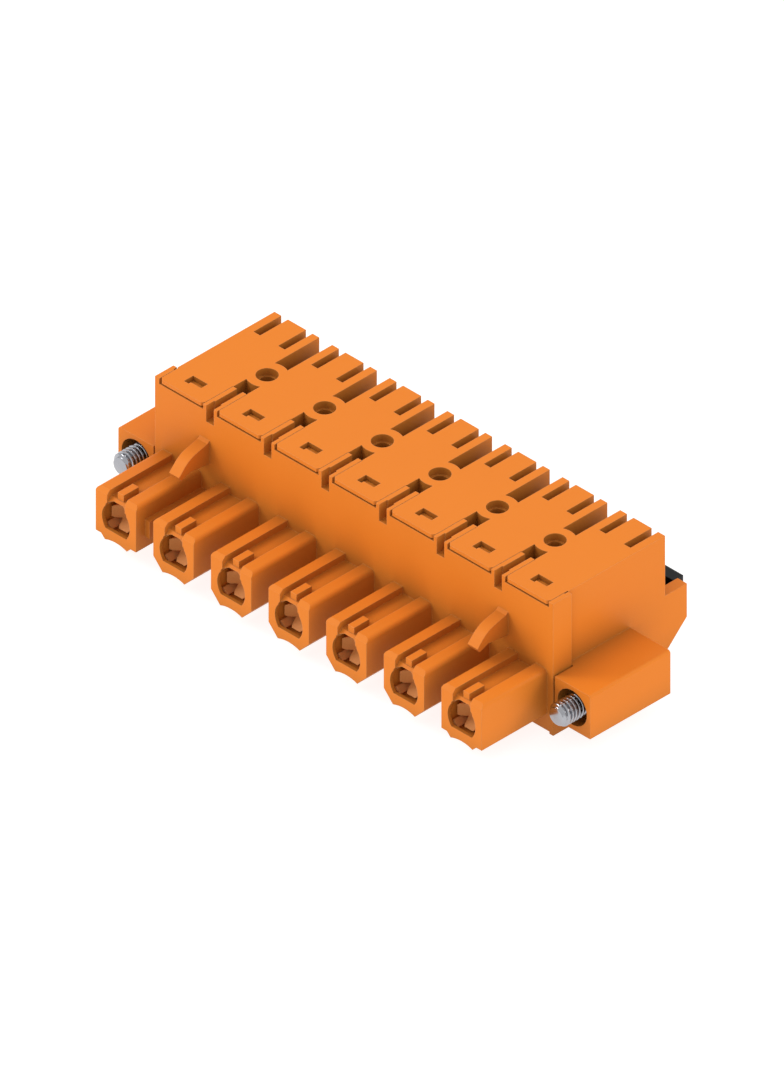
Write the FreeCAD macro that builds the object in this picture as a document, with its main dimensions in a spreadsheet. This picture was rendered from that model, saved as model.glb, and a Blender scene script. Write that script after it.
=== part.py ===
import FreeCAD, Part
import math
import os
import Sketcher

# Seven-pole plug connector. X runs along the row of poles, Y from the mating side to the wire side, Z up.
# Every body is drawn from the shoulder, the plane that the contact chambers stand on (y = 0), and from
# the surface the plug lies on (z = 0), and is then moved so that the origin is under its middle.
POLES = 7

# Sizes in millimetres. "height" is measured from the surface that the plug lies on.
SIZES = {
    # row of poles and the block
    "pitch": "7.62",
    "block_height": "15.03",
    "block_depth": "15.31",
    "block_side": "2.975",
    "running_gap": "0.08",
    "joint_gap": "0.05",
    # contact housing: front wall, its skirt round the clamp housing, shelf under the tongues
    "wall_thickness": "2.0",
    "wall_rise": "0.25",
    "foot_width": "0.5",
    "skirt_thickness": "0.45",
    "skirt_lap": "2.45",
    "shelf_depth": "3.95",
    "shelf_thickness": "1.7",
    "shelf_inset": "0.45",
    # slots between the poles, seen from above
    "slot_mouth_width": "1.0",
    "slot_mouth_length": "1.05",
    "slot_width": "0.76",
    "slot_depth": "1.85",
    # contact chamber
    "chamber_length": "8.65",
    "chamber_width": "5.33",
    "chamber_height": "5.55",
    "chamber_rise": "1.68",
    "chamber_foot": "2.9",
    "chamber_corner": "1.3",
    "arch_rise": "0.28",
    "end_corner_drop": "0.5",
    "end_corner_width": "3.9",
    "rail_rounding": "0.45",
    "rail_bevel": "0.4",
    "channel_width": "2.34",
    "channel_depth": "0.75",
    "channel_bevel": "0.6",
    "lug_width": "0.79",
    "lug_length": "2.0",
    "lug_setback": "0.65",
    # opening and inner space of a chamber, measured from the contact's axis
    "axis_height": "4.38",
    "lip_thickness": "0.4",
    "opening_drop": "1.37",
    "opening_floor_width": "2.72",
    "opening_waist": "1.2",
    "opening_waist_width": "2.76",
    "opening_side_radius": "2.02",
    "lobe_rise": "1.45",
    "lobe_width": "2.66",
    "lobe_radius": "2.08",
    "cell_width": "3.8",
    "cell_drop": "1.93",
    "cell_rise": "1.8",
    "cell_corner": "0.75",
    # coding rib on the inner side of each end chamber
    "rib_thickness": "0.6",
    "rib_height": "1.95",
    "rib_rise": "1.75",
    "rib_setback": "1.2",
    # locking hooks on the front wall
    "hook_inset": "3.12",
    "hook_width": "1.3",
    "hook_reach": "4.07",
    "hook_root_low": "8.62",
    "hook_root_high": "11.2",
    "hook_facet_length": "0.33",
    "hook_facet_height": "10.98",
    "hook_tip_low": "8.44",
    "hook_tip_high": "8.95",
    "hook_tip_slope": "0.27",
    "hook_tip_radius": "0.2",
    "hook_knee": "2.72",
    "hook_knee_height": "10.37",
    "hook_bend": "3.0",
    "hook_belly": "2.6",
    "hook_belly_height": "8.91",
    # tongues of the clamp housing and their latch windows
    "tongue_width": "5.72",
    "tongue_thickness": "1.05",
    "tongue_lip": "0.42",
    "tongue_lip_length": "1.2",
    "tongue_bevel": "0.3",
    "tongue_seam": "0.2",
    "window_width": "1.95",
    "window_length": "0.9",
    "window_setback": "1.65",
    "window_notch": "0.6",
    "window_notch_length": "0.3",
    "nose_height": "0.6",
    # pockets, bosses and peg holes between the poles
    "pocket_depth": "4.0",
    "boss_setback": "7.55",
    "boss_radius": "2.05",
    "peg_radius": "1.09",
    "peg_step": "0.8",
    "peg_inner_radius": "0.85",
    "peg_depth": "4.5",
    # comb at the rear
    "notch_width": "1.7",
    "notch_depth": "3.6",
    "comb_slot_width": "0.87",
    "comb_slot_spacing": "3.26",
    "comb_slot_length": "3.68",
    "comb_slot_depth": "1.1",
    # rear step with the button bays
    "step_length": "2.88",
    "step_height": "8.17",
    "step_edge_height": "4.39",
    "slope_length": "4.28",
    "bay_width": "3.48",
    "bay_floor": "4.9",
    # clamp chamber and wire entry
    "clamp_width": "4.6",
    "clamp_floor": "3.45",
    "clamp_roof": "1.38",
    "clamp_back": "12.4",
    "wire_drop": "4.13",
    "wire_radius": "2.15",
    "funnel_radius": "2.55",
    "funnel_length": "1.2",
    # flanges
    "flange_reach": "5.365",
    "flange_low": "2.0",
    "flange_height": "4.88",
    "flange_setback": "0.02",
    "flange_depth": "10.63",
    "flange_rounding": "0.3",
    "flange_seam": "0.2",
    "flange_hole_radius": "1.93",
    "flange_hole_depth": "4.5",
    # flange screw
    "screw_height": "4.48",
    "screw_inset": "2.37",
    "screw_radius": "1.25",
    "screw_reach": "2.14",
    "screw_point": "0.4",
    "screw_thread_length": "4.9",
    "screw_neck_radius": "0.95",
    "screw_head_radius": "2.0",
    "screw_head_height": "1.7",
    "screw_head_depth": "0.85",
    "screw_slot_width": "0.65",
    "screw_slot_depth": "0.8",
    # release button
    "button_gap": "0.1",
    "button_height": "3.03",
    "button_reach": "1.06",
    "button_head_thickness": "1.48",
    "button_rounding": "0.35",
    "button_dimple_width": "1.7",
    "button_dimple_height": "0.8",
    "button_dimple_depth": "0.5",
    "stem_width": "2.6",
    "stem_low": "5.6",
    "stem_height": "1.3",
    "stem_front": "11.35",
    "barb_height": "0.3",
    "barb_length": "0.85",
    # socket contact and current bar
    "leaf_thickness": "0.3",
    "leaf_width": "1.4",
    "leaf_setback": "0.95",
    "leaf_mouth": "1.5",
    "leaf_throat": "0.5",
    "leaf_throat_setback": "1.85",
    "leaf_end_back": "0.23",
    "leaf_end_out": "0.16",
    "leaf_tip_radius": "0.74",
    "leaf_tip_centre": "1.0",
    "leaf_tip_flat": "0.12",
    "strip_radius": "1.8",
    "strip_width": "0.84",
    "strip_setback": "0.55",
    "strip_lap": "1.0",
    "sleeve_width": "2.8",
    "sleeve_length": "4.6",
    "leaf_length": "3.9",
    "bar_thickness": "0.7",
    "bar_tail": "0.6",
    "bar_riser": "4.9",
    "bar_length": "10.6",
    "bar_bend": "0.5",
    # clamp spring
    "spring_thickness": "0.35",
    "spring_width": "3.0",
    "spring_start": "5.4",
    "spring_heel": "12.2",
    "spring_angle": "59.6",
    "spring_bend": "0.85",
}

HALF_ROW = f"(size.pitch * {POLES - 1} / 2)"
BLOCK_HALF = f"({HALF_ROW} + size.block_side)"
FRAME_HALF = f"({BLOCK_HALF} + size.joint_gap + size.skirt_thickness)"
FIRST_POLE = f"(-{HALF_ROW})"
FIRST_GAP = f"(-{HALF_ROW} + size.pitch / 2)"
CLAMP_FRONT = "(size.wall_thickness + size.joint_gap)"
SHELF_TOP = "(size.block_height - size.tongue_thickness - size.joint_gap)"
SHELF_LOW = f"({SHELF_TOP} - size.shelf_thickness)"
SHELF_HALF = f"({BLOCK_HALF} - size.shelf_inset)"
CHAMBER_TOP = "(size.chamber_rise + size.chamber_height)"
CHANNEL_FLOOR = f"({CHAMBER_TOP} - size.channel_depth)"
CLAMP_CEILING = "(size.block_height - size.clamp_roof)"
STEP_BACK = "(size.block_depth + size.step_length)"
SCREW_X = f"({BLOCK_HALF} + size.flange_reach - size.screw_inset)"
BUTTON_BACK = f"({STEP_BACK} + size.button_reach)"

doc = FreeCAD.newDocument("plug_connector")
sheet = doc.addObject("Spreadsheet::Sheet", "size")
for row, (alias, value) in enumerate(SIZES.items(), start=1):
    sheet.set(f"A{row}", value)
    sheet.setAlias(f"A{row}", alias)
doc.recompute()


# Sketches: every corner is held by two bound distances from the sketch's origin.

def origin_item(body, role):
    return next(item for item in body.Origin.OriginFeatures if item.Role == role)


def new_body(name, x="0", z="0"):
    body = doc.addObject("PartDesign::Body", name)
    body.Label = name
    middle = f"(size.chamber_length - {BUTTON_BACK}) / 2"
    body.setExpression("Placement.Base.x", x)
    body.setExpression("Placement.Base.y", middle)
    body.setExpression("Placement.Base.z", z)
    return body


def new_sketch(body, name, role, offset="0"):
    sketch = body.newObject("Sketcher::SketchObject", name)
    sketch.AttachmentSupport = [(origin_item(body, role), "")]
    sketch.MapMode = "FlatFace"
    sketch.setExpression("AttachmentOffset.Base.z", offset)
    return sketch


def cross_sketch(body, name, y="0"):
    """A sketch across the plug, in X and Z, at a depth y behind the shoulder."""
    return new_sketch(body, name, "XZ_Plane", f"-({y})")


def side_sketch(body, name, x="0"):
    """A sketch in Y and Z, at a place x along the row."""
    return new_sketch(body, name, "YZ_Plane", x)


def plan_sketch(body, name, z):
    """A sketch in X and Y, at a height z."""
    return new_sketch(body, name, "XY_Plane", z)


def bind(sketch, *constraint, size):
    index = sketch.addConstraint(Sketcher.Constraint(*constraint, 1.0))
    sketch.setExpression(f"Constraints[{index}]", size)


def pin(sketch, item, point, x, y):
    bind(sketch, "DistanceX", -1, 1, item, point, size=x)
    bind(sketch, "DistanceY", -1, 1, item, point, size=y)


def outline(sketch, corners):
    """A closed outline of straight lines through corners given as pairs of expressions."""
    first = sketch.GeometryCount
    count = len(corners)
    turns = [2 * math.pi * step / count for step in range(count)]
    places = [FreeCAD.Vector(math.cos(turn), math.sin(turn), 0) for turn in turns]
    for step in range(count):
        sketch.addGeometry(Part.LineSegment(places[step], places[(step + 1) % count]))
    for step, (x, y) in enumerate(corners):
        following = first + (step + 1) % count
        sketch.addConstraint(Sketcher.Constraint("Coincident", first + step, 2, following, 1))
        pin(sketch, first + step, 1, x, y)


def rectangle(sketch, left, right, low, high):
    outline(sketch, [(left, low), (right, low), (right, high), (left, high)])


def circle(sketch, x, y, radius):
    item = sketch.addGeometry(Part.Circle(FreeCAD.Vector(), FreeCAD.Vector(0, 0, 1), 1.0))
    pin(sketch, item, 3, x, y)
    bind(sketch, "Radius", item, size=radius)


def bow(sketch, chord, radius):
    """Turn one side of a solved outline into an arc of this radius that bulges outwards."""
    line = sketch.Geometry[chord]
    along = line.EndPoint - line.StartPoint
    bulge = FreeCAD.Vector(along.y, -along.x, 0) * 0.25
    middle = (line.StartPoint + line.EndPoint) / 2 + bulge
    arc = sketch.addGeometry(Part.Arc(line.StartPoint, middle, line.EndPoint))
    sketch.setConstruction(chord, True)
    same_way = sketch.Geometry[arc].StartPoint.distanceToPoint(line.StartPoint) < 1e-6
    for end in (1, 2):
        arc_end = end if same_way else 3 - end
        sketch.addConstraint(Sketcher.Constraint("Coincident", arc, arc_end, chord, end))
    bind(sketch, "Radius", arc, size=radius)


# Features

def extrude(body, kind, name, sketch, length, symmetric=False, flipped=False):
    feature = body.newObject(f"PartDesign::{kind}", name)
    feature.Profile = sketch
    feature.AllowMultiFace = True
    if symmetric:
        feature.SideType = "Symmetric"
    feature.Reversed = flipped
    feature.Refine = False
    feature.setExpression("Length", length)
    return feature


def pad_back(body, name, sketch, length):
    """Add material from a cross sketch towards the wire side."""
    return extrude(body, "Pad", name, sketch, length, flipped=True)


def cut_back(body, name, sketch, length):
    """Remove material from a cross sketch towards the wire side."""
    return extrude(body, "Pocket", name, sketch, length)


def pad_wide(body, name, sketch, width):
    """Add material to both sides of a side sketch."""
    return extrude(body, "Pad", name, sketch, width, symmetric=True)


def cut_wide(body, name, sketch, width):
    """Remove material to both sides of a side sketch."""
    return extrude(body, "Pocket", name, sketch, width, symmetric=True)


def cut_down(body, name, sketch, depth):
    """Remove material from a plan sketch downwards."""
    return extrude(body, "Pocket", name, sketch, depth)


def turn(body, kind, name, sketch, corners, axis_height):
    """Revolve an outline in Y and Z about a line along Y at a height in the sketch."""
    outline(sketch, corners)
    start, end = FreeCAD.Vector(0, 0, 0), FreeCAD.Vector(1, 0, 0)
    line = sketch.addGeometry(Part.LineSegment(start, end), True)
    pin(sketch, line, 1, "0", axis_height)
    bind(sketch, "DistanceX", line, 1, line, 2, size="1")
    sketch.addConstraint(Sketcher.Constraint("Horizontal", line))
    feature = body.newObject(f"PartDesign::{kind}", name)
    feature.Profile = sketch
    feature.ReferenceAxis = (sketch, ["Axis0"])
    feature.Angle = 360
    feature.Refine = False
    return feature


def along_row(body, name, originals, count, length):
    pattern = body.newObject("PartDesign::LinearPattern", name)
    pattern.Originals = originals
    pattern.Direction = (origin_item(body, "X_Axis"), [""])
    pattern.Occurrences = count
    pattern.Refine = False
    pattern.setExpression("Length", length)
    body.Tip = pattern
    return pattern


def at_each_pole(body, name, originals):
    return along_row(body, name, originals, POLES, f"size.pitch * {POLES - 1}")


def between_poles(body, name, originals):
    return along_row(body, name, originals, POLES - 1, f"size.pitch * {POLES - 2}")


def four_times(body, name, originals):
    """Repeat features at quarter turns about the body's own axis along Y."""
    ring = body.newObject("PartDesign::PolarPattern", name)
    ring.Originals = originals
    ring.Axis = (origin_item(body, "Y_Axis"), [""])
    ring.Angle = 360
    ring.Occurrences = 4
    body.Tip = ring


def edges_through(shape, points):
    """Names of the straight edges that pass along any of these lines, given as (point, direction)."""
    names = []
    for index, edge in enumerate(shape.Edges, start=1):
        if not isinstance(edge.Curve, Part.Line):
            continue
        for point, direction in points:
            ends = [vertex.Point - point for vertex in edge.Vertexes]
            if all(end.cross(direction).Length < 1e-4 for end in ends):
                names.append(f"Edge{index}")
                break
    return names


def corner_lines(sketch, corners, shifts):
    """Lines through corners of a sketch, along its normal, repeated at shifts along the row."""
    normal = sketch.Placement.Rotation.multVec(FreeCAD.Vector(0, 0, 1))
    lines = []
    for corner in corners:
        point = sketch.Placement.multVec(sketch.Geometry[corner].StartPoint)
        lines += [(point + FreeCAD.Vector(shift, 0, 0), normal) for shift in shifts]
    return lines


def dress(body, kind, name, lines, prop, size):
    """Round or bevel the edges that lie on these lines."""
    doc.recompute()
    base = body.Tip
    feature = body.newObject(f"PartDesign::{kind}", name)
    feature.Base = (base, edges_through(base.Shape, lines))
    feature.setExpression(prop, size)
    return feature


def round_corners(body, name, sketch, corners, radius, shifts=(0,)):
    doc.recompute()
    return dress(body, "Fillet", name, corner_lines(sketch, corners, shifts), "Radius", radius)


def pole_x(pole):
    return f"(size.pitch * {pole - (POLES - 1) / 2})"


# Contact housing: front wall with a skirt, a shelf for the tongues, contact chambers and hooks

def add_front_wall(body):
    inner = f"({FRAME_HALF} - size.foot_width)"
    sketch = cross_sketch(body, "wall_outline")
    outline(sketch, [
        (f"-{FRAME_HALF}", "0"), (f"-{inner}", "0"),
        (f"-{inner}", "size.wall_rise"), (inner, "size.wall_rise"),
        (inner, "0"), (FRAME_HALF, "0"),
        (FRAME_HALF, "size.block_height"), (f"-{FRAME_HALF}", "size.block_height"),
    ])
    pad_back(body, "front_wall", sketch, "size.wall_thickness")

    skin = f"({FRAME_HALF} - size.skirt_thickness)"
    skirt_floor = "size.wall_rise + size.skirt_thickness"
    sketch = cross_sketch(body, "skirt_outline", "size.wall_thickness")
    outline(sketch, [
        (f"-{FRAME_HALF}", "0"), (f"-{inner}", "0"),
        (f"-{inner}", "size.wall_rise"), (inner, "size.wall_rise"),
        (inner, "0"), (FRAME_HALF, "0"),
        (FRAME_HALF, "size.block_height"), (skin, "size.block_height"),
        (skin, skirt_floor), (f"-{skin}", skirt_floor),
        (f"-{skin}", "size.block_height"), (f"-{FRAME_HALF}", "size.block_height"),
    ])
    pad_back(body, "skirt", sketch, "size.skirt_lap - size.wall_thickness")


def add_shelf(body):
    reach = "size.shelf_depth - size.wall_thickness"
    sketch = cross_sketch(body, "shelf_outline", "size.wall_thickness")
    rectangle(sketch, f"-{SHELF_HALF}", SHELF_HALF, SHELF_LOW, SHELF_TOP)
    pad_back(body, "shelf", sketch, reach)

    half = "(size.pitch / 2 - size.tongue_width / 2 - size.joint_gap)"
    sketch = cross_sketch(body, "strip_outline", "size.wall_thickness")
    rectangle(sketch, f"{FIRST_GAP} - {half}", f"{FIRST_GAP} + {half}", SHELF_LOW, "size.block_height")
    strip = pad_back(body, "strip", sketch, reach)
    between_poles(body, "strips", [strip])


def add_tongue_recesses(body):
    lip_floor = "size.block_height - size.tongue_lip - size.tongue_seam"
    lip_end = "size.tongue_lip_length - size.joint_gap"
    over = "size.block_height + size.wall_thickness"
    sketch = side_sketch(body, "recess_outline", FIRST_POLE)
    outline(sketch, [
        ("-size.wall_thickness", lip_floor), (lip_end, lip_floor),
        (lip_end, SHELF_TOP), ("size.shelf_depth + size.joint_gap", SHELF_TOP),
        ("size.shelf_depth + size.joint_gap", over), ("-size.wall_thickness", over),
    ])
    recess = cut_wide(body, "tongue_recess", sketch, "size.tongue_width + 2 * size.joint_gap")

    start = "size.window_setback + size.joint_gap"
    end = "size.window_setback + size.window_length - size.joint_gap"
    sketch = side_sketch(body, "nose_outline", FIRST_POLE)
    outline(sketch, [
        (start, SHELF_TOP), (end, SHELF_TOP),
        (end, f"{SHELF_TOP} + size.nose_height"),
        (f"({start} + {end}) / 2", f"{SHELF_TOP} + size.nose_height"),
    ])
    nose = pad_wide(body, "latch_nose", sketch, "size.window_width - 4 * size.joint_gap")
    at_each_pole(body, "tongue_recesses", [recess, nose])


def add_slots(body):
    mouth, narrow = "size.slot_mouth_width / 2", "size.slot_width / 2"
    back = "size.shelf_depth + size.joint_gap"
    sketch = plan_sketch(body, "slot_outline", "size.block_height")
    outline(sketch, [
        (f"{FIRST_GAP} - {mouth}", "-size.joint_gap"), (f"{FIRST_GAP} + {mouth}", "-size.joint_gap"),
        (f"{FIRST_GAP} + {mouth}", "size.slot_mouth_length"),
        (f"{FIRST_GAP} + {narrow}", "size.slot_mouth_length"),
        (f"{FIRST_GAP} + {narrow}", back), (f"{FIRST_GAP} - {narrow}", back),
        (f"{FIRST_GAP} - {narrow}", "size.slot_mouth_length"),
        (f"{FIRST_GAP} - {mouth}", "size.slot_mouth_length"),
    ])
    slot = cut_down(body, "slot", sketch, "size.slot_depth")
    between_poles(body, "slots", [slot])


def add_chambers(body):
    half, foot = "size.chamber_width / 2", "size.chamber_foot / 2"
    corner = "size.chamber_rise + size.chamber_corner"
    turn_start, turn_end = f"{CHAMBER_TOP} - size.rail_rounding", f"{half} - size.rail_rounding"
    sketch = cross_sketch(body, "chamber_outline", "-size.chamber_length")
    outline(sketch, [
        (f"{FIRST_POLE} - {foot}", "size.chamber_rise"), (f"{FIRST_POLE} + {foot}", "size.chamber_rise"),
        (f"{FIRST_POLE} + {half}", corner), (f"{FIRST_POLE} + {half}", turn_start),
        (f"{FIRST_POLE} + {turn_end}", CHAMBER_TOP), (f"{FIRST_POLE} - ({turn_end})", CHAMBER_TOP),
        (f"{FIRST_POLE} - {half}", turn_start), (f"{FIRST_POLE} - {half}", corner),
    ])
    doc.recompute()
    bow(sketch, 3, "size.rail_rounding")
    bow(sketch, 5, "size.rail_rounding")
    chamber = pad_back(body, "chamber", sketch, "size.chamber_length")

    sketch = side_sketch(body, "bevel_outline", FIRST_POLE)
    outline(sketch, [
        ("-size.chamber_length", f"{CHAMBER_TOP} - size.rail_bevel"),
        ("-size.chamber_length + size.rail_bevel", CHAMBER_TOP),
        ("-size.chamber_length", CHAMBER_TOP),
    ])
    bevel = cut_wide(body, "rail_bevel", sketch, "size.chamber_width")

    sketch = side_sketch(body, "channel_outline", FIRST_POLE)
    outline(sketch, [
        ("-size.chamber_length", f"{CHANNEL_FLOOR} - size.channel_bevel"),
        ("-size.chamber_length + size.channel_bevel", CHANNEL_FLOOR), ("0", CHANNEL_FLOOR),
        ("0", f"{CHAMBER_TOP} + size.channel_depth"),
        ("-size.chamber_length", f"{CHAMBER_TOP} + size.channel_depth"),
    ])
    channel = cut_wide(body, "channel", sketch, "size.channel_width")

    lug_front = "(size.lug_setback - size.chamber_length)"
    sketch = side_sketch(body, "lug_outline", FIRST_POLE)
    rectangle(sketch, lug_front, f"{lug_front} + size.lug_length", CHANNEL_FLOOR, CHAMBER_TOP)
    lug = pad_wide(body, "lug", sketch, "size.lug_width")

    arch_radius = f"(({foot}) ^ 2 + size.arch_rise ^ 2) / (2 * size.arch_rise)"
    sketch = cross_sketch(body, "arch_outline", "-size.chamber_length")
    circle(sketch, FIRST_POLE, f"size.chamber_rise + size.arch_rise - {arch_radius}", arch_radius)
    arch = cut_back(body, "arch", sketch, "size.chamber_length")
    at_each_pole(body, "chambers", [chamber, bevel, channel, lug, arch])


def add_end_corners(body):
    """The two outer chambers keep their lower corners, for coding."""
    half, foot = "size.chamber_width / 2", "size.chamber_foot / 2"
    knee = "size.end_corner_width / 2"
    low, drop = "size.chamber_rise", "size.chamber_rise + size.end_corner_drop"
    corner = "size.chamber_rise + size.chamber_corner"
    sketch = cross_sketch(body, "end_corner_outline", "-size.chamber_length")
    for pole in (FIRST_POLE, HALF_ROW):
        outline(sketch, [
            (f"{pole} + {foot}", low), (f"{pole} + {knee}", drop),
            (f"{pole} + {half}", drop), (f"{pole} + {half}", corner),
        ])
        outline(sketch, [
            (f"{pole} - {foot}", low), (f"{pole} - {half}", corner),
            (f"{pole} - {half}", drop), (f"{pole} - {knee}", drop),
        ])
    pad_back(body, "end_corners", sketch, "size.chamber_length")

    rib_low = "size.chamber_rise + size.rib_rise"
    outer = f"({half} + size.rib_thickness)"
    sketch = cross_sketch(body, "coding_rib_outline", "size.rib_setback - size.chamber_length")
    rectangle(sketch, f"{FIRST_POLE} + {half}", f"{FIRST_POLE} + {outer}", rib_low,
              f"{rib_low} + size.rib_height")
    rectangle(sketch, f"{HALF_ROW} - {outer}", f"{HALF_ROW} - {half}", rib_low,
              f"{rib_low} + size.rib_height")
    pad_back(body, "coding_ribs", sketch, "size.chamber_length - size.rib_setback")


def add_openings(body):
    """Keyhole opening in the lip of each chamber, and the cell for the contact behind it."""
    floor, waist = "size.axis_height - size.opening_drop", "size.axis_height + size.opening_waist"
    top = "size.axis_height + size.lobe_rise"
    floor_half, waist_half = "size.opening_floor_width / 2", "size.opening_waist_width / 2"
    lobe = "size.lobe_width / 2"
    sketch = cross_sketch(body, "opening_outline", "-size.chamber_length")
    outline(sketch, [
        (f"{FIRST_POLE} - {floor_half}", floor), (f"{FIRST_POLE} + {floor_half}", floor),
        (f"{FIRST_POLE} + {waist_half}", waist), (f"{FIRST_POLE} + {lobe}", top),
        (f"{FIRST_POLE} - {lobe}", top), (f"{FIRST_POLE} - {waist_half}", waist),
    ])
    doc.recompute()
    bow(sketch, 1, "size.opening_side_radius")
    bow(sketch, 3, "size.lobe_radius")
    bow(sketch, 5, "size.opening_side_radius")
    opening = cut_back(body, "opening", sketch, "size.lip_thickness")

    half, corner = "size.cell_width / 2", "size.cell_corner"
    low, high = "size.axis_height - size.cell_drop", "size.axis_height + size.cell_rise"
    sketch = cross_sketch(body, "cell_outline", "size.lip_thickness - size.chamber_length")
    outline(sketch, [
        (f"{FIRST_POLE} - {half} + {corner}", low), (f"{FIRST_POLE} + {half} - {corner}", low),
        (f"{FIRST_POLE} + {half}", f"{low} + {corner}"), (f"{FIRST_POLE} + {half}", high),
        (f"{FIRST_POLE} - {half}", high), (f"{FIRST_POLE} - {half}", f"{low} + {corner}"),
    ])
    reach = "size.chamber_length - size.lip_thickness + size.wall_thickness"
    cell = cut_back(body, "cell", sketch, reach)
    at_each_pole(body, "openings", [opening, cell])


def add_hooks(body):
    hook_x = f"({HALF_ROW} - size.hook_inset)"
    sketch = side_sketch(body, "hook_outline", f"-{hook_x}")
    outline(sketch, [
        ("0", "size.hook_root_low"), ("0", "size.hook_root_high"),
        ("-size.hook_facet_length", "size.hook_facet_height"),
        ("-size.hook_knee", "size.hook_knee_height"), ("-size.hook_reach", "size.hook_tip_high"),
        ("size.hook_tip_slope - size.hook_reach", "size.hook_tip_low"),
        ("-size.hook_belly", "size.hook_belly_height"),
    ])
    hook = pad_wide(body, "hook", sketch, "size.hook_width")
    along_row(body, "hooks", [hook], 2, f"2 * {hook_x}")
    doc.recompute()
    shifts = [0, 2 * (sheet.get("pitch") * (POLES - 1) / 2 - sheet.get("hook_inset"))]
    round_corners(body, "hook_bends", sketch, [3], "size.hook_bend", shifts)
    round_corners(body, "hook_tips", sketch, [5], "size.hook_tip_radius", shifts)


def build_contact_housing():
    body = new_body("contact_housing")
    add_front_wall(body)
    add_hooks(body)
    add_shelf(body)
    add_tongue_recesses(body)
    add_slots(body)
    add_chambers(body)
    add_end_corners(body)
    add_openings(body)
    return body


# Clamp housing: block with tongues, peg holes, comb, rear step and flanges

def add_block(body):
    sketch = side_sketch(body, "block_outline")
    shelf_back = "size.shelf_depth + size.joint_gap"
    tongue_low = "size.block_height - size.tongue_thickness"
    outline(sketch, [
        (CLAMP_FRONT, "size.wall_rise"), (f"{STEP_BACK} - size.slope_length", "size.wall_rise"),
        (STEP_BACK, "size.step_edge_height"), (STEP_BACK, "size.step_height"),
        ("size.block_depth", "size.step_height"), ("size.block_depth", "size.block_height"),
        (shelf_back, "size.block_height"), (shelf_back, tongue_low), (CLAMP_FRONT, tongue_low),
    ])
    pad_wide(body, "block", sketch, f"2 * {BLOCK_HALF}")

    sketch = cross_sketch(body, "shelf_space_outline", CLAMP_FRONT)
    side = f"({SHELF_HALF} + size.joint_gap)"
    rectangle(sketch, f"-{side}", side, f"{SHELF_LOW} - size.joint_gap", tongue_low)
    cut_back(body, "shelf_space", sketch, "size.shelf_depth - size.wall_thickness")

    sketch = cross_sketch(body, "skirt_space_outline", CLAMP_FRONT)
    lap_floor = "size.wall_rise + size.skirt_thickness + size.joint_gap"
    rectangle(sketch, f"-{BLOCK_HALF}", BLOCK_HALF, "0", lap_floor)
    cut_back(body, "skirt_space", sketch, "size.skirt_lap - size.wall_thickness")

    sketch = cross_sketch(body, "foot_outline", "size.skirt_lap + size.joint_gap")
    inner = f"({BLOCK_HALF} - size.foot_width)"
    rectangle(sketch, f"-{BLOCK_HALF}", f"-{inner}", "0", "size.wall_rise + size.joint_gap")
    rectangle(sketch, inner, BLOCK_HALF, "0", "size.wall_rise + size.joint_gap")
    reach = f"{STEP_BACK} - size.slope_length - size.skirt_lap - size.joint_gap"
    pad_back(body, "feet", sketch, reach)

    tongue_side = f"({HALF_ROW} + size.tongue_width / 2 - size.joint_gap)"
    sketch = cross_sketch(body, "end_side_outline", "size.skirt_lap + size.joint_gap")
    for left, right in ((f"-{BLOCK_HALF}", f"-{tongue_side}"), (tongue_side, BLOCK_HALF)):
        rectangle(sketch, left, right, f"{tongue_low} - size.joint_gap", "size.block_height")
    pad_back(body, "end_sides", sketch, "size.shelf_depth - size.skirt_lap")


def add_tongues(body):
    tongue_low = "size.block_height - size.tongue_thickness"
    root = "size.shelf_depth + size.tongue_thickness"
    sketch = side_sketch(body, "tongue_outline", FIRST_POLE)
    outline(sketch, [
        ("0", "size.block_height - size.tongue_lip"),
        ("size.tongue_lip_length", "size.block_height - size.tongue_lip"),
        ("size.tongue_lip_length", tongue_low), (root, tongue_low),
        (root, "size.block_height"), ("0", "size.block_height"),
    ])
    tongue = pad_wide(body, "tongue", sketch, "size.tongue_width")

    half = "size.window_width / 2"
    near, far = "size.window_setback", "size.window_setback + size.window_length"
    notch = f"{FIRST_POLE} - {half} + size.window_notch"
    sketch = plan_sketch(body, "window_outline", "size.block_height")
    outline(sketch, [
        (f"{FIRST_POLE} - {half}", f"{near} - size.window_notch_length"),
        (notch, f"{near} - size.window_notch_length"), (notch, near),
        (f"{FIRST_POLE} + {half}", near), (f"{FIRST_POLE} + {half}", far),
        (f"{FIRST_POLE} - {half}", far),
    ])
    window = cut_down(body, "latch_window", sketch, "size.tongue_thickness")

    side, bevel = "size.tongue_width / 2", "size.tongue_bevel"
    sketch = plan_sketch(body, "tongue_bevel_outline", "size.block_height")
    outline(sketch, [
        (f"{FIRST_POLE} - {side}", "0"), (f"{FIRST_POLE} - {side} + {bevel}", "0"),
        (f"{FIRST_POLE} - {side}", bevel),
    ])
    outline(sketch, [
        (f"{FIRST_POLE} + {side}", "0"), (f"{FIRST_POLE} + {side}", bevel),
        (f"{FIRST_POLE} + {side} - {bevel}", "0"),
    ])
    corners = cut_down(body, "tongue_bevels", sketch, "size.tongue_lip")
    at_each_pole(body, "tongues", [tongue, window, corners])


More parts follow.
